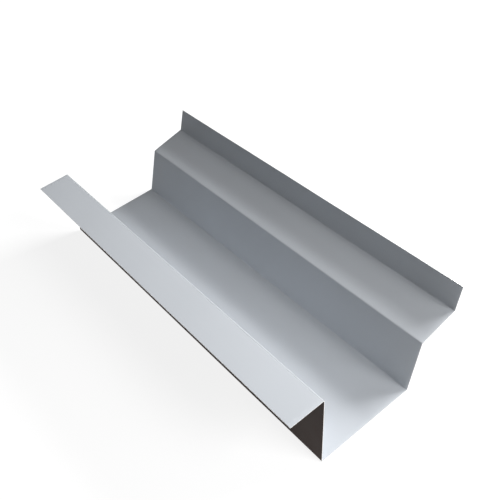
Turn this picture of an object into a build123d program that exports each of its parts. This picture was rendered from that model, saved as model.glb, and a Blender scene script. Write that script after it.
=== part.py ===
from build123d import *
import os

# A short length of rain gutter, folded on a brake from one strip of coated steel sheet.
#
# Looked at from its near end the strip runs from the front to the back as six flat panels:
# a level flange that hooks over the board in front, a front wall, the floor of the trough,
# a steep back wall, a ledge that rises gently and an upstand along the back edge.
# Five folds join the panels. Each keeps the sheet's full thickness round the bend,
# with one arc inside it and a larger arc outside it.
#
# Sizes are in millimetres and degrees. X runs from the flange to the upstand,
# Y along the gutter and Z up. The floor panel lies flat on the ground at Z = 0.

# Stock
LENGTH = 500.0
SHEET_THICKNESS = 0.7
INSIDE_FOLD_RADIUS = 1.4

# Panel widths, measured on the coated face from fold line to fold line
FLANGE_WIDTH = 42.0
FRONT_WALL_WIDTH = 94.0
FLOOR_WIDTH = 122.0
BACK_WALL_WIDTH = 62.0
LEDGE_WIDTH = 50.0
UPSTAND_WIDTH = 30.0

# Panel directions, seen from the near end: 0 points to the back and 90 points up
FLANGE_DIRECTION = 0.0
FRONT_WALL_DIRECTION = -97.0
FLOOR_DIRECTION = 0.0
BACK_WALL_DIRECTION = 70.0
LEDGE_DIRECTION = 12.0
UPSTAND_DIRECTION = 70.0

PANELS = [
    (FLANGE_WIDTH, FLANGE_DIRECTION),
    (FRONT_WALL_WIDTH, FRONT_WALL_DIRECTION),
    (FLOOR_WIDTH, FLOOR_DIRECTION),
    (BACK_WALL_WIDTH, BACK_WALL_DIRECTION),
    (LEDGE_WIDTH, LEDGE_DIRECTION),
    (UPSTAND_WIDTH, UPSTAND_DIRECTION),
]


def fold_lines():
    """Corners of the coated face's outline, each one panel further along than the last."""
    corners = [Vector(0, 0)]
    for width, direction in PANELS:
        corners.append(corners[-1] + Vector(width, 0).rotate(Axis.Z, direction))
    return corners


def fold_radii():
    """Radius of the coated face at each fold: the inside radius where the face is inside
    the bend, and one sheet thickness more where it is outside."""
    radii = []
    for (_, before), (_, after) in zip(PANELS, PANELS[1:]):
        face_is_inside = after > before
        radii.append(INSIDE_FOLD_RADIUS if face_is_inside else INSIDE_FOLD_RADIUS + SHEET_THICKNESS)
    return radii


def folded_strip():
    """The strip folded along its outline, with the sheet's thickness behind the coated face."""
    corners = [(corner.X, corner.Y) for corner in fold_lines()]
    with BuildPart() as strip:
        with BuildLine(Plane.XZ):
            FilletPolyline(*corners, radius=fold_radii())
        make_brake_formed(SHEET_THICKNESS, LENGTH, side=Side.RIGHT)
    return strip.part


def stood_on_its_floor(piece):
    """The piece moved so that the middle of its footprint is the origin and it rests on Z = 0."""
    box = piece.bounding_box()
    middle = box.center()
    return piece.moved(Location((-middle.X, -middle.Y, -box.min.Z)))


gutter = stood_on_its_floor(folded_strip())
gutter.label = "gutter_sheet"

os.makedirs("parts", exist_ok=True)
export_step(gutter, "parts/gutter_sheet.step")
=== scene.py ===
import math

import bpy
import numpy as np
from mathutils import Matrix, Vector


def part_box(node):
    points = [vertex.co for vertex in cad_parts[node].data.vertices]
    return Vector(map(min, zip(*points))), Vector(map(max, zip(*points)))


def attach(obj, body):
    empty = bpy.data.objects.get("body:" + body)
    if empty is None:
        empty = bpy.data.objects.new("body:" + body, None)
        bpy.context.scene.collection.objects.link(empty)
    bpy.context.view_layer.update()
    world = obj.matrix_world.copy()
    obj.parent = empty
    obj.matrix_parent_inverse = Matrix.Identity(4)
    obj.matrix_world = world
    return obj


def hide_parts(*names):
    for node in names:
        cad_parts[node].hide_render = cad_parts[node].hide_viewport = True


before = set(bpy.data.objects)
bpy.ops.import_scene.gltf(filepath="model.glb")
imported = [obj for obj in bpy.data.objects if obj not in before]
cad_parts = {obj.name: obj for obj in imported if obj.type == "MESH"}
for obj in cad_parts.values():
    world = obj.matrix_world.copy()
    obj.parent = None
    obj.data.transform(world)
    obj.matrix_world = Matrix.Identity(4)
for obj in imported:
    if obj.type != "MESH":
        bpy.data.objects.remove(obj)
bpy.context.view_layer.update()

bl_info = {
    "name": "Folded Rain Gutter",
    "version": (1, 0, 0),
    "blender": (4, 5, 0),
    "location": "View3D > Sidebar > Gutter",
    "description": "Builds a short length of folded, coated sheet-metal gutter on a pale stage",
    "category": "Object",
}

# Frame
NODE = "gutter_sheet"
BODY = "root"
NODE_LOW, NODE_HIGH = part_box(NODE)

# One millimetre in Blender's metres
MM = 0.001

# Panels of the section, from the front edge to the back edge. Directions are in degrees, seen
# from the near end: 0 points to the back and 90 points up.
PANEL_NAMES = ("flange", "front_wall", "floor", "back_wall", "ledge", "upstand")
PANEL_WIDTHS_MM = (42.0, 94.0, 122.0, 62.0, 50.0, 30.0)
PANEL_DIRECTIONS = (0.0, -97.0, 0.0, 70.0, 12.0, 70.0)

# Sampling of the sheet: the steps across a panel and along the gutter, how close to a fold a
# panel has one more sample, and the steps round a fold and round a sheared corner
PANEL_STEP_MM = 3.0
LENGTH_STEP_MM = 5.0
SUPPORT_MM = 0.4
FOLD_STEPS = 10
ROLLOVER_STEPS = 3

# Slight waves of thin sheet between stiff folds: the length and the share of each of the two,
# and how far their phase moves on from panel to panel and from wave to wave, in radians
WAVE_LENGTHS_MM = (231.0, 97.0)
WAVE_SHARES = (1.0, 0.45)
PHASE_PER_PANEL = 1.9
PHASE_PER_WAVE = 0.8

# Point attribute: 1 where a sharp fold draws out the face coat, -1 where it draws out the
# reverse coat. It starts at the mild bend and is full at the sharp one, in degrees.
DRAWN_OUT = "drawn_out"
MILD_BEND = 60.0
SHARP_BEND = 97.0

# Material slots of the sheet, and the angle in degrees past which an edge is shaded sharp
FACE_COAT, REVERSE_COAT, CUT_METAL = range(3)
SHARP_EDGE = 40.0

# Face coat: patches of dust, lines left by the roller, orange peel, and the primer under it
DUST_PATCH_MM = 70.0
DUST_DETAIL = 4.0
DUST_RAGGEDNESS = 0.6
ROLLER_LINE_MM = 2.5
ROLLER_LINE_DETAIL = 2.0
ROLLER_LINE_STRETCH = 0.02
ROLLER_LINE_SHARE = 0.3
PEEL_MM = 2.2
PEEL_DETAIL = 2.0
PEEL_HEIGHT_MM = 0.02
PEEL_STRENGTH = 0.25
FACE_TONES = (0.97, 1.03)
FACE_ROUGHNESS = (0.68, 0.78)
FACE_IOR = 1.5
PRIMER_SHARE = 0.4
PRIMER_ROUGHNESS = 0.9

# Reverse coat: cloudy rub marks, and the paler coat at a fold
RUB_MARK_MM = 25.0
RUB_DETAIL = 5.0
RUB_RAGGEDNESS = 0.65
REVERSE_TONES = (0.85, 1.15)
REVERSE_ROUGHNESS = (0.6, 0.72)
REVERSE_IOR = 1.35
PALED_SHARE = 0.4

# Cut metal: lines dragged by the shears
DRAG_LINE_MM = 0.8
DRAG_LINE_DETAIL = 3.0
METAL_ROUGHNESS = (0.28, 0.5)

# Node sockets that are chosen by number, because the node gives several of them one name
MATH_A, MATH_B = 0, 1
NUMBER_A, NUMBER_B, MIXED_NUMBER = 2, 3, 0
COLOUR_A, COLOUR_B, MIXED_COLOUR = 6, 7, 2
SHADER_A, SHADER_B = 1, 2

# Floor, in metres: its half width, and the distances from its middle between which the shadow
# fades out. To the camera it glows evenly, with this share in the middle and fully beyond.
FLOOR_HALF_WIDTH = 4.0
SHADOW_FADE = (0.5, 1.4)
FLOOR_GLOW = 1.15
FLOOR_GLOW_SHARE = 0.75
WHITE = (1.0, 1.0, 1.0, 1.0)

# Soft lights: name, turn and height in degrees, distance and size in mm, share of the power.
# They face one place, over the middle of the ground that the gutter covers.
LAMPS = (
    ("side_light", 73.0, 29.0, 1150.0, (700.0, 280.0), 0.46),
    ("near_light", 18.0, 34.0, 1800.0, (800.0, 800.0), 0.54),
)
LIT_PLACE_MM = Vector((0.0, 0.0, 50.0))

# Camera, found by fitting the fold lines of the picture
CAMERA_PLACE_MM = Vector((-310.75, -548.95, 647.92))
CAMERA_LOOK = (0.38579, 0.62049, -0.68275)
CAMERA_UP = (0.50648, 0.47611, 0.71888)
CAMERA_FOCAL_PIXELS = 721.46
CAMERA_NEAR_MM = 1.0
PICTURE_PIXELS = 500
SENSOR_MM = 36.0

# The sRGB curve: a straight line up to its knee and a shifted power above it
SRGB_KNEE = 0.04045
SRGB_SLOPE = 12.92
SRGB_SHIFT = 0.055
SRGB_POWER = 2.4


def srgb(code):
    """A colour written as sRGB hex, turned to the linear red, green and blue that shaders use."""
    encoded = np.array([int(code[i:i + 2], 16) for i in (1, 3, 5)]) / 255
    power = ((encoded + SRGB_SHIFT) / (1 + SRGB_SHIFT)) ** SRGB_POWER
    linear = np.where(encoded <= SRGB_KNEE, encoded / SRGB_SLOPE, power)
    return tuple(float(channel) for channel in linear)


class SheetSettings(bpy.types.PropertyGroup):
    """Sizes of the folded strip"""

    thickness: bpy.props.FloatProperty(
        name="Sheet thickness", description="Thickness of the steel with its coats",
        default=0.7 * MM, min=0.3 * MM, unit="LENGTH")
    fold_radius: bpy.props.FloatProperty(
        name="Inside fold radius", description="Radius on the inside of every fold",
        default=1.4 * MM, min=0.1 * MM, unit="LENGTH")
    length: bpy.props.FloatProperty(
        name="Length", description="Cut length of the piece",
        default=NODE_HIGH.y - NODE_LOW.y, min=20.0 * MM, unit="LENGTH")
    rollover: bpy.props.FloatProperty(
        name="Edge rollover", description="How far shearing rounds the face coat over a cut edge",
        default=0.07 * MM, min=0.01 * MM, unit="LENGTH")
    burr: bpy.props.FloatProperty(
        name="Edge chamfer", description="Dressed corner on the back of a cut edge",
        default=0.06 * MM, min=0.01 * MM, unit="LENGTH")
    unevenness: bpy.props.FloatProperty(
        name="Unevenness", description="Height of the slight waves in the panels",
        default=0.12 * MM, min=0.0, unit="LENGTH")


class FinishSettings(bpy.types.PropertyGroup):
    """Colours of the coats and the cut metal"""

    face: bpy.props.FloatVectorProperty(
        name="Face coat", description="Light grey polyester on the trough side",
        subtype="COLOR", size=3, min=0.0, max=1.0, default=srgb("#B4B8BD"))
    primer: bpy.props.FloatVectorProperty(
        name="Primer", description="Darker coat that shows where a fold draws the face coat thin",
        subtype="COLOR", size=3, min=0.0, max=1.0, default=srgb("#5E6260"))
    reverse: bpy.props.FloatVectorProperty(
        name="Reverse coat", description="Dark brown backing coat on the outside",
        subtype="COLOR", size=3, min=0.0, max=1.0, default=srgb("#2F211B"))
    paled: bpy.props.FloatVectorProperty(
        name="Paled reverse", description="Reverse coat where a fold draws it out",
        subtype="COLOR", size=3, min=0.0, max=1.0, default=srgb("#6B5A50"))
    metal: bpy.props.FloatVectorProperty(
        name="Cut metal", description="Bare zinc and steel on the cut edges",
        subtype="COLOR", size=3, min=0.0, max=1.0, default=srgb("#EEECEA"))


class StageSettings(bpy.types.PropertyGroup):
    """Floor and light"""

    floor: bpy.props.FloatVectorProperty(
        name="Floor", description="Pale studio floor",
        subtype="COLOR", size=3, min=0.0, max=1.0, default=srgb("#F4F4F4"))
    lamp_power: bpy.props.FloatProperty(
        name="Lamp power", description="Power of all the soft lights together, in watts",
        default=54.0, min=0.0, unit="POWER")
    surround: bpy.props.FloatProperty(
        name="Surround", description="Strength of the even light from all round",
        default=0.02, min=0.0)


def fold_corners(sheet):
    """Corners of the coated face's outline in metres: the running sum of the panels, each of
    which adds its width times the cosine and the sine of its direction. The flange's free edge
    is the CAD node's front, and the floor lies one thickness above the node's underside."""
    widths = np.array(PANEL_WIDTHS_MM) * MM
    turn = np.radians(PANEL_DIRECTIONS)
    steps = widths[:, None] * np.column_stack([np.cos(turn), np.sin(turn)])
    corners = np.vstack([np.zeros(2), np.cumsum(steps, axis=0)])
    return corners + [NODE_LOW.x, NODE_LOW.z + sheet.thickness - corners[:, 1].min()]


def panel_samples(start, stop):
    """Places along a panel from start to stop, evenly spaced, with one more close to each fold
    so that the smooth shading of the fold ends there."""
    count = max(2, int(round((stop - start) / (PANEL_STEP_MM * MM))) + 1)
    support = SUPPORT_MM * MM
    inner = np.linspace(start + support, stop - support, count)
    return np.concatenate([[start], inner, [stop]])


def facing(directions):
    """Unit normals of the coated side where the strip runs in these directions: minus the sine
    across and the cosine up."""
    return np.column_stack([-np.sin(directions), np.cos(directions)])


def flat_stretch(corner, direction, start, stop):
    """The flat part of a panel, where a point is the panel's first corner plus the distance
    times its direction. It gives the points, the strip's direction at each of them and how
    far across the panel each lies, from 0 to 1."""
    along = panel_samples(start, stop)
    ahead = np.array([math.cos(direction), math.sin(direction)])
    points = corner + along[:, None] * ahead
    return points, np.full(len(along), direction), (along - start) / (stop - start)


def fold_stretch(start, before, after, radius):
    """The arc of a fold, from where the flat part before it ends. A point is that start plus the
    radius times the difference between the normal there and its own, which turns evenly from
    one panel's to the next one's. The radius counts as negative where the strip turns down.
    It gives the same as a flat part does, for the points between the arc's ends."""
    signed_radius = radius * np.sign(after - before)
    turn = np.linspace(before, after, FOLD_STEPS + 1)
    points = start + signed_radius * (facing(turn[:1]) - facing(turn[1:-1]))
    return points, turn[1:-1], np.ones(FOLD_STEPS - 1)


def coated_outline(sheet):
    """The coated face's outline: points, unit normals on the coated side, the panel each point
    belongs to, how far across it lies, and how far a fold draws out its coat there: up to 1 on
    the coated side, down to -1 on the reverse and 0 on the flat.

    The outline's radius is the inside one at a fold where the strip turns up, and one thickness
    more where it turns down, with the face outside the bend. The flat part of a panel stops
    short of the corner by the radius times the tangent of half the bend."""
    corners = fold_corners(sheet)
    directions = np.radians(PANEL_DIRECTIONS)
    bends = np.diff(directions)
    radii = np.where(bends > 0, sheet.fold_radius, sheet.fold_radius + sheet.thickness)
    tangents = radii * np.tan(np.abs(bends) / 2)
    starts = np.append(0.0, tangents)
    stops = np.array(PANEL_WIDTHS_MM) * MM - np.append(tangents, 0.0)
    sharpness = (np.abs(bends) - math.radians(MILD_BEND)) / math.radians(SHARP_BEND - MILD_BEND)
    drawing = -np.sign(bends) * np.clip(sharpness, 0, 1)
    stretches = []
    for panel, direction in enumerate(directions):
        flat = flat_stretch(corners[panel], direction, starts[panel], stops[panel])
        stretches.append((panel, 0.0, *flat))
        if panel < len(bends):
            end_of_flat = flat[0][-1]
            fold = fold_stretch(end_of_flat, direction, directions[panel + 1], radii[panel])
            stretches.append((panel, drawing[panel], *fold))
    panels, drawn, points, angles, across = zip(*stretches)
    counts = [len(part) for part in across]
    normals = facing(np.concatenate(angles))
    return (np.vstack(points), normals, np.repeat(panels, counts), np.concatenate(across),
            np.repeat(drawn, counts))


def edge_profile(sheet):
    """A cut edge from the coated side to the reverse side, as how far it draws back from the cut
    and how deep it lies in the thickness: a quarter circle of rollover, then the straight
    cut, then the chamfered corner."""
    turn = np.linspace(0, np.pi / 2, ROLLOVER_STEPS + 1)
    back = sheet.rollover * (1 - np.sin(turn))
    deep = sheet.rollover * (1 - np.cos(turn))
    back = np.concatenate([back, [0.0, sheet.burr]])
    deep = np.concatenate([deep, [sheet.thickness - sheet.burr, sheet.thickness]])
    return back, deep


def unevenness(panels, across, places, sheet):
    """Height of the slight waves, for each outline point and each place along the length: two
    sine waves along the length, times a half sine across the panel that is nothing at a fold
    and, on the two outer panels, a quarter one that is greatest at the free edge. The floor
    panel's waves are raised by their own greatest depth, so that they stay clear of the ground."""
    last = len(PANEL_WIDTHS_MM) - 1
    swell = np.sin(np.pi * across)
    swell = np.where(panels == 0, np.cos(np.pi / 2 * across), swell)
    swell = np.where(panels == last, np.sin(np.pi / 2 * across), swell)
    raised = np.where(panels == PANEL_NAMES.index("floor"), sum(WAVE_SHARES), 0.0)
    total = np.repeat(raised[:, None], len(places), axis=1)
    for number, (wavelength, share) in enumerate(zip(WAVE_LENGTHS_MM, WAVE_SHARES)):
        phase = PHASE_PER_PANEL * panels + PHASE_PER_WAVE * number
        total += share * np.sin(2 * np.pi * places[None, :] / (wavelength * MM) + phase[:, None])
    return sheet.unevenness * swell[:, None] * total


def length_stations(sheet):
    """Places along the length and how deep the coated and the reverse face are drawn in there:
    even steps between the ends, and each end follows the cut edge's own profile."""
    back, deep = edge_profile(sheet)
    half = sheet.length / 2
    count = int(round(sheet.length / (LENGTH_STEP_MM * MM))) + 1
    middle = np.linspace(-half + sheet.rollover, half - sheet.rollover, count)[1:-1]
    rounded = slice(0, ROLLOVER_STEPS + 1)
    far_end = half - back[rounded]
    places = np.concatenate([-far_end[::-1], middle, far_end])
    coated_in = np.concatenate([deep[rounded][::-1], np.zeros(len(middle)), deep[rounded]])
    share = coated_in / sheet.rollover
    return places, coated_in, share * sheet.burr


def edge_shift(count, distance):
    """How far the points of a face move along the strip: nothing between its free edges, which
    both draw back from the cut by the distance."""
    shift = np.zeros(count)
    shift[0] = distance
    shift[-1] = -distance
    return shift


def strip_loop(sheet):
    """The closed cross-section: across the coated face to the back edge, down that cut edge,
    back across the reverse and up the front cut edge. It gives each point's place, normal,
    depth below the coated face, panel, distance across it and how far its coat is drawn out.
    A point of a cut edge is the outline's end, moved along the strip by how far it draws back."""
    points, normals, panels, across, drawn = coated_outline(sheet)
    back, deep = edge_profile(sheet)
    count = len(points)
    # A cut edge begins and ends on the two faces, so it adds only the points between
    rim = len(back) - 2
    outline = np.arange(count)
    source = np.concatenate([outline, np.full(rim, count - 1), outline[::-1], np.zeros(rim, int)])
    depth = np.concatenate([np.zeros(count), deep[1:-1],
                            np.full(count, sheet.thickness), deep[-2:0:-1]])
    shift = np.concatenate([edge_shift(count, back[0]), -back[1:-1],
                            edge_shift(count, back[-1])[::-1], back[-2:0:-1]])
    ahead = np.column_stack([normals[:, 1], -normals[:, 0]])
    place = points[source] + shift[:, None] * ahead[source]
    return place, normals[source], depth, panels[source], across[source], drawn[source]


def folded_sheet_mesh(sheet):
    """The strip's closed surface. The cross-section's loop is carried along the length, and at
    each station a point is its outline place minus its depth times the normal, plus the
    unevenness along the normal. It gives the points, and how far each is drawn out."""
    place, normal, depth, panel, across, drawn = strip_loop(sheet)
    places, coated_in, reverse_in = length_stations(sheet)
    on_coated_side = depth[:, None] < sheet.thickness / 2
    inset = np.where(on_coated_side,
                     np.maximum(depth[:, None], coated_in[None, :]),
                     np.minimum(depth[:, None], sheet.thickness - reverse_in[None, :]))
    lift = unevenness(panel, across, places, sheet) - inset
    section = place[:, None, :] + lift[:, :, None] * normal[:, None, :]
    along = np.broadcast_to(places, section.shape[:2])
    vertices = np.stack([section[:, :, 0], along, section[:, :, 1]], axis=-1)
    return vertices, np.repeat(drawn, len(places))


def sheet_faces(loop, stations):
    """Quads between neighbouring loop points and stations, and at both ends a strip of quads
    across the thickness with the two cut corners. It gives the faces and their material slots.
    The loop's points are the coated face's, the back cut's, the reverse's and the front cut's."""
    rim = ROLLOVER_STEPS + 1
    coated = loop // 2 - rim
    first_reverse = coated + rim
    last_reverse = first_reverse + coated - 1
    index = np.arange(loop * stations).reshape(loop, stations)
    following = np.roll(index, -1, axis=0)
    quads = np.stack([index[:, :-1], following[:, :-1], following[:, 1:], index[:, 1:]], axis=-1)
    ring_material = np.full(loop, CUT_METAL)
    ring_material[:coated - 1 + ROLLOVER_STEPS] = FACE_COAT
    ring_material[first_reverse:last_reverse] = REVERSE_COAT
    ring_material[loop - ROLLOVER_STEPS:] = FACE_COAT
    faces = quads.reshape(-1, 4).tolist()
    materials = np.repeat(ring_material, stations - 1).tolist()
    top = np.arange(coated)
    bottom = last_reverse - top
    for station, flip in ((0, False), (stations - 1, True)):
        strip = np.stack([index[top[:-1], station], index[bottom[:-1], station],
                          index[bottom[1:], station], index[top[1:], station]], axis=-1)
        back_corner = index[np.arange(coated - 1, first_reverse + 1), station]
        front_corner = np.append(index[np.arange(last_reverse, loop), station],
                                 index[0, station])
        ends = strip.tolist() + [back_corner[::-1].tolist(), front_corner[::-1].tolist()]
        faces += [face[::-1] for face in ends] if flip else ends
        materials += [CUT_METAL] * len(ends)
    return faces, materials


def add_node(tree, kind, inputs=None, **settings):
    """Adds a node, sets its options, and gives each input, by name or number, a value or link."""
    made = tree.nodes.new(kind)
    for name, value in settings.items():
        setattr(made, name, value)
    for name, value in (inputs or {}).items():
        if isinstance(value, bpy.types.NodeSocket):
            tree.links.new(value, made.inputs[name])
        else:
            made.inputs[name].default_value = value
    return made


def new_material(name):
    """An empty node material and its tree."""
    material = bpy.data.materials.new(name)
    material.use_nodes = True
    material.node_tree.nodes.clear()
    return material, material.node_tree


def per_metre(size_mm):
    """A texture's scale for features of this size."""
    return 1 / (size_mm * MM)


def toned(colour, tone):
    """A colour made darker or lighter by a factor, with full opacity."""
    return (*[tone * channel for channel in colour], 1.0)


def polyester_face_coat(colour, primer):
    """Coil-coated matt polyester, rolled on flat and stoved: an even, light grey, soft skin with
    faint roller lines along the strip, orange peel and the dull film of dust. Outside a sharp
    fold the coat is drawn thin, so the darker primer shows through and the sheen drops."""
    material, tree = new_material("polyester_face_coat")
    where = add_node(tree, "ShaderNodeTexCoord").outputs["Object"]
    dust = add_node(tree, "ShaderNodeTexNoise",
                    {"Vector": where, "Scale": per_metre(DUST_PATCH_MM),
                     "Detail": DUST_DETAIL, "Roughness": DUST_RAGGEDNESS})
    # Real roller lines are about 0.3 mm wide, so these are drawn wider to show
    stretched = add_node(tree, "ShaderNodeMapping",
                         {"Vector": where, "Scale": (1.0, ROLLER_LINE_STRETCH, 1.0)})
    lines = add_node(tree, "ShaderNodeTexNoise",
                     {"Vector": stretched.outputs["Vector"], "Scale": per_metre(ROLLER_LINE_MM),
                      "Detail": ROLLER_LINE_DETAIL})
    film = add_node(tree, "ShaderNodeMix",
                    {"Factor": ROLLER_LINE_SHARE, NUMBER_A: dust.outputs["Fac"],
                     NUMBER_B: lines.outputs["Fac"]}).outputs[MIXED_NUMBER]
    tone = add_node(tree, "ShaderNodeMix",
                    {"Factor": film, COLOUR_A: toned(colour, FACE_TONES[0]),
                     COLOUR_B: toned(colour, FACE_TONES[1])}, data_type="RGBA")
    stretch = add_node(tree, "ShaderNodeAttribute", attribute_name=DRAWN_OUT).outputs["Fac"]
    thinned = add_node(tree, "ShaderNodeMapRange",
                       {"Value": stretch, "To Max": PRIMER_SHARE}).outputs["Result"]
    skin = add_node(tree, "ShaderNodeMix",
                    {"Factor": thinned, COLOUR_A: tone.outputs[MIXED_COLOUR],
                     COLOUR_B: (*primer, 1.0)}, data_type="RGBA")
    sheen = add_node(tree, "ShaderNodeMapRange",
                     {"Value": film, "To Min": FACE_ROUGHNESS[0], "To Max": FACE_ROUGHNESS[1]})
    dulled = add_node(tree, "ShaderNodeMix",
                      {"Factor": thinned, NUMBER_A: sheen.outputs["Result"],
                       NUMBER_B: PRIMER_ROUGHNESS})
    peel = add_node(tree, "ShaderNodeTexNoise",
                    {"Vector": where, "Scale": per_metre(PEEL_MM), "Detail": PEEL_DETAIL})
    relief = add_node(tree, "ShaderNodeBump",
                      {"Height": peel.outputs["Fac"], "Strength": PEEL_STRENGTH,
                       "Distance": PEEL_HEIGHT_MM * MM})
    shader = add_node(tree, "ShaderNodeBsdfPrincipled",
                      {"Base Color": skin.outputs[MIXED_COLOUR],
                       "Roughness": dulled.outputs[MIXED_NUMBER],
                       "IOR": FACE_IOR, "Normal": relief.outputs["Normal"]})
    add_node(tree, "ShaderNodeOutputMaterial", {"Surface": shader.outputs["BSDF"]})
    return material


def brown_reverse_coat(colour, paled_colour):
    """Thin brown backing coat, stoved like the face coat: dark and dull, cloudy where the strip
    was rubbed, and paler where a fold draws it out."""
    material, tree = new_material("brown_reverse_coat")
    where = add_node(tree, "ShaderNodeTexCoord").outputs["Object"]
    rubs = add_node(tree, "ShaderNodeTexNoise",
                    {"Vector": where, "Scale": per_metre(RUB_MARK_MM),
                     "Detail": RUB_DETAIL, "Roughness": RUB_RAGGEDNESS}).outputs["Fac"]
    tone = add_node(tree, "ShaderNodeMix",
                    {"Factor": rubs, COLOUR_A: toned(colour, REVERSE_TONES[0]),
                     COLOUR_B: toned(colour, REVERSE_TONES[1])}, data_type="RGBA")
    stretch = add_node(tree, "ShaderNodeAttribute", attribute_name=DRAWN_OUT).outputs["Fac"]
    paled = add_node(tree, "ShaderNodeMapRange",
                     {"Value": stretch, "From Min": 0.0, "From Max": -1.0,
                      "To Max": PALED_SHARE})
    skin = add_node(tree, "ShaderNodeMix",
                    {"Factor": paled.outputs["Result"], COLOUR_A: tone.outputs[MIXED_COLOUR],
                     COLOUR_B: (*paled_colour, 1.0)}, data_type="RGBA")
    sheen = add_node(tree, "ShaderNodeMapRange",
                     {"Value": rubs, "To Min": REVERSE_ROUGHNESS[0],
                      "To Max": REVERSE_ROUGHNESS[1]})
    shader = add_node(tree, "ShaderNodeBsdfPrincipled",
                      {"Base Color": skin.outputs[MIXED_COLOUR],
                       "Roughness": sheen.outputs["Result"], "IOR": REVERSE_IOR})
    add_node(tree, "ShaderNodeOutputMaterial", {"Surface": shader.outputs["BSDF"]})
    return material


def sheared_zinc_steel(colour):
    """Galvanised steel where the shears cut it: bright, with fine drag lines."""
    material, tree = new_material("sheared_zinc_steel")
    where = add_node(tree, "ShaderNodeTexCoord").outputs["Object"]
    drag = add_node(tree, "ShaderNodeTexNoise",
                    {"Vector": where, "Scale": per_metre(DRAG_LINE_MM),
                     "Detail": DRAG_LINE_DETAIL})
    sheen = add_node(tree, "ShaderNodeMapRange",
                     {"Value": drag.outputs["Fac"], "To Min": METAL_ROUGHNESS[0],
                      "To Max": METAL_ROUGHNESS[1]})
    shader = add_node(tree, "ShaderNodeBsdfPrincipled",
                      {"Base Color": (*colour, 1.0), "Roughness": sheen.outputs["Result"],
                       "Metallic": 1.0})
    add_node(tree, "ShaderNodeOutputMaterial", {"Surface": shader.outputs["BSDF"]})
    return material


class GUTTER_OT_folded_sheet(bpy.types.Operator):
    """Builds the folded strip with its two coats and bare cut edges"""

    bl_idname = "gutter.folded_sheet"
    bl_label = "Folded Sheet"

    def execute(self, context):
        sheet = context.scene.gutter_sheet
        finish = context.scene.gutter_finish
        vertices, drawn = folded_sheet_mesh(sheet)
        loop, stations = vertices.shape[:2]
        faces, materials = sheet_faces(loop, stations)
        mesh = bpy.data.meshes.new("folded_sheet")
        mesh.from_pydata(vertices.reshape(-1, 3).tolist(), [], faces)
        mesh.attributes.new(DRAWN_OUT, "FLOAT", "POINT").data.foreach_set("value", drawn)
        # In the order of the material slots
        mesh.materials.append(polyester_face_coat(finish.face, finish.primer))
        mesh.materials.append(brown_reverse_coat(finish.reverse, finish.paled))
        mesh.materials.append(sheared_zinc_steel(finish.metal))
        mesh.polygons.foreach_set("material_index", np.array(materials, dtype=np.int32))
        mesh.shade_smooth()
        mesh.set_sharp_from_angle(angle=math.radians(SHARP_EDGE))
        mesh.update()
        piece = bpy.data.objects.new("folded_sheet", mesh)
        context.scene.collection.objects.link(piece)
        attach(piece, BODY)
        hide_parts(NODE)
        return {"FINISHED"}


def seen_rays(tree):
    """One for a ray that comes from the camera or by way of a gloss or glass, and otherwise
    nothing: the greatest of Light Path's three answers."""
    path = add_node(tree, "ShaderNodeLightPath")
    direct = add_node(tree, "ShaderNodeMath",
                      {MATH_A: path.outputs["Is Camera Ray"],
                       MATH_B: path.outputs["Is Glossy Ray"]}, operation="MAXIMUM")
    return add_node(tree, "ShaderNodeMath",
                    {MATH_A: direct.outputs["Value"],
                     MATH_B: path.outputs["Is Transmission Ray"]},
                    operation="MAXIMUM").outputs["Value"]


def white_paper(colour):
    """Matt white paper. To the camera and in reflections part of its light is even white, so it
    reads as white and keeps a faint shadow, and further out it is all white."""
    material, tree = new_material("white_paper_floor")
    where = add_node(tree, "ShaderNodeTexCoord").outputs["Object"]
    away = add_node(tree, "ShaderNodeVectorMath", {"Vector": where}, operation="LENGTH")
    whiteness = add_node(tree, "ShaderNodeMapRange",
                         {"Value": away.outputs["Value"], "From Min": SHADOW_FADE[0],
                          "From Max": SHADOW_FADE[1], "To Min": FLOOR_GLOW_SHARE})
    share = add_node(tree, "ShaderNodeMath",
                     {MATH_A: seen_rays(tree), MATH_B: whiteness.outputs["Result"]},
                     operation="MULTIPLY")
    paper = add_node(tree, "ShaderNodeBsdfDiffuse", {"Color": (*colour, 1.0)})
    glow = add_node(tree, "ShaderNodeEmission", {"Color": WHITE, "Strength": FLOOR_GLOW})
    mixed = add_node(tree, "ShaderNodeMixShader",
                     {"Fac": share.outputs["Value"], SHADER_A: paper.outputs["BSDF"],
                      SHADER_B: glow.outputs["Emission"]})
    add_node(tree, "ShaderNodeOutputMaterial", {"Surface": mixed.outputs["Shader"]})
    return material


def stage_floor(colour):
    """A wide level square of white paper under the gutter."""
    half = FLOOR_HALF_WIDTH
    mesh = bpy.data.meshes.new("studio_floor")
    mesh.from_pydata([(-half, -half, 0), (half, -half, 0), (half, half, 0), (-half, half, 0)], [],
                     [(0, 1, 2, 3)])
    mesh.materials.append(white_paper(colour))
    return bpy.data.objects.new("studio_floor", mesh)


def stage_world(strength):
    """Even light from all round, seen as white by the camera and in reflections."""
    world = bpy.data.worlds.new("studio_surround")
    world.use_nodes = True
    tree = world.node_tree
    tree.nodes.clear()
    level = add_node(tree, "ShaderNodeMapRange",
                     {"Value": seen_rays(tree), "To Min": strength, "To Max": 1.0})
    background = add_node(tree, "ShaderNodeBackground",
                          {"Color": WHITE, "Strength": level.outputs["Result"]})
    add_node(tree, "ShaderNodeOutputWorld", {"Surface": background.outputs["Background"]})
    return world


def aimed(place, look, up):
    """The matrix of something that stands at a place and looks along a direction. Its columns
    are its right, its up, its back and its place."""
    back = -Vector(look).normalized()
    right = Vector(up).cross(back).normalized()
    turn = Matrix((right, back.cross(right), back)).transposed()
    return Matrix.Translation(place) @ turn.to_4x4()


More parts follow.
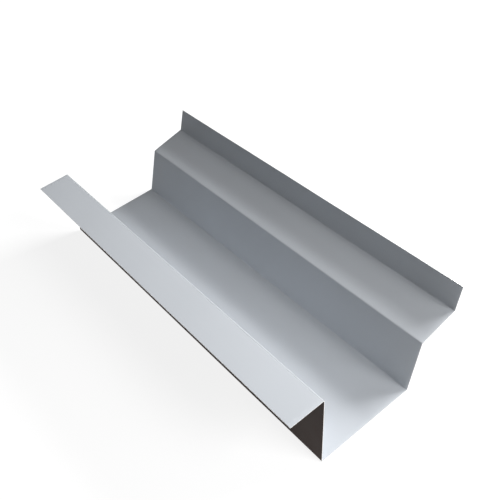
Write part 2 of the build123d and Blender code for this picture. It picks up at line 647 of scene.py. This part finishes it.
def soft_light(name, turn, height, distance_mm, size_mm, power):
    """A rectangular soft light that faces the lit place. Its turn goes from the near end, at 0,
    to the upstand's side, at 90, and its height is the angle above level ground."""
    lamp = bpy.data.lights.new(name, "AREA")
    lamp.shape = "RECTANGLE"
    lamp.size, lamp.size_y = (side * MM for side in size_mm)
    lamp.energy = power
    made = bpy.data.objects.new(name, lamp)
    turn, height = math.radians(turn), math.radians(height)
    away = Vector((math.cos(height) * math.sin(turn), -math.cos(height) * math.cos(turn),
                   math.sin(height)))
    made.matrix_world = aimed((LIT_PLACE_MM + distance_mm * away) * MM, -away, (0.0, 0.0, 1.0))
    made.visible_camera = False
    return made


def photo_camera():
    """The camera at the picture's viewing angle. Its lens is to the sensor's width as the focal
    length in pixels is to the picture's width."""
    lens = bpy.data.cameras.new("photo_camera")
    lens.sensor_width = SENSOR_MM
    lens.lens = CAMERA_FOCAL_PIXELS / PICTURE_PIXELS * SENSOR_MM
    lens.clip_start = CAMERA_NEAR_MM * MM
    camera = bpy.data.objects.new("photo_camera", lens)
    camera.matrix_world = aimed(CAMERA_PLACE_MM * MM, CAMERA_LOOK, CAMERA_UP)
    return camera


class GUTTER_OT_stage(bpy.types.Operator):
    """Builds the floor, the lights and the camera"""

    bl_idname = "gutter.stage"
    bl_label = "Stage"

    def execute(self, context):
        scene, stage = context.scene, context.scene.gutter_stage
        floor = stage_floor(stage.floor)
        scene.collection.objects.link(floor)
        scene.world = stage_world(stage.surround)
        for name, turn, height, distance, size, share in LAMPS:
            lamp = soft_light(name, turn, height, distance, size, share * stage.lamp_power)
            scene.collection.objects.link(lamp)
        scene.camera = photo_camera()
        scene.collection.objects.link(scene.camera)
        scene.view_settings.view_transform = "Standard"
        return {"FINISHED"}


class GUTTER_PT_sidebar(bpy.types.Panel):
    """Lists the gutter's settings and its steps"""

    bl_label = "Gutter"
    bl_idname = "GUTTER_PT_sidebar"
    bl_space_type = "VIEW_3D"
    bl_region_type = "UI"
    bl_category = "Gutter"

    def draw(self, context):
        layout, scene = self.layout, context.scene
        for settings in (scene.gutter_sheet, scene.gutter_finish, scene.gutter_stage):
            box = layout.box()
            for name in settings.__annotations__:
                box.prop(settings, name)
        layout.operator(GUTTER_OT_folded_sheet.bl_idname)
        layout.operator(GUTTER_OT_stage.bl_idname)


CLASSES = (
    SheetSettings,
    FinishSettings,
    StageSettings,
    GUTTER_OT_folded_sheet,
    GUTTER_OT_stage,
    GUTTER_PT_sidebar,
)


def register():
    """Registers the classes and hangs the settings on the scene."""
    for part in CLASSES:
        bpy.utils.register_class(part)
    bpy.types.Scene.gutter_sheet = bpy.props.PointerProperty(type=SheetSettings)
    bpy.types.Scene.gutter_finish = bpy.props.PointerProperty(type=FinishSettings)
    bpy.types.Scene.gutter_stage = bpy.props.PointerProperty(type=StageSettings)


def unregister():
    """Takes the settings off the scene and the classes away, last first."""
    del bpy.types.Scene.gutter_stage
    del bpy.types.Scene.gutter_finish
    del bpy.types.Scene.gutter_sheet
    for part in reversed(CLASSES):
        bpy.utils.unregister_class(part)


def main():
    """Registers the add-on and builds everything."""
    register()
    bpy.ops.gutter.folded_sheet()
    bpy.ops.gutter.stage()


if __name__ == "__main__":
    main()
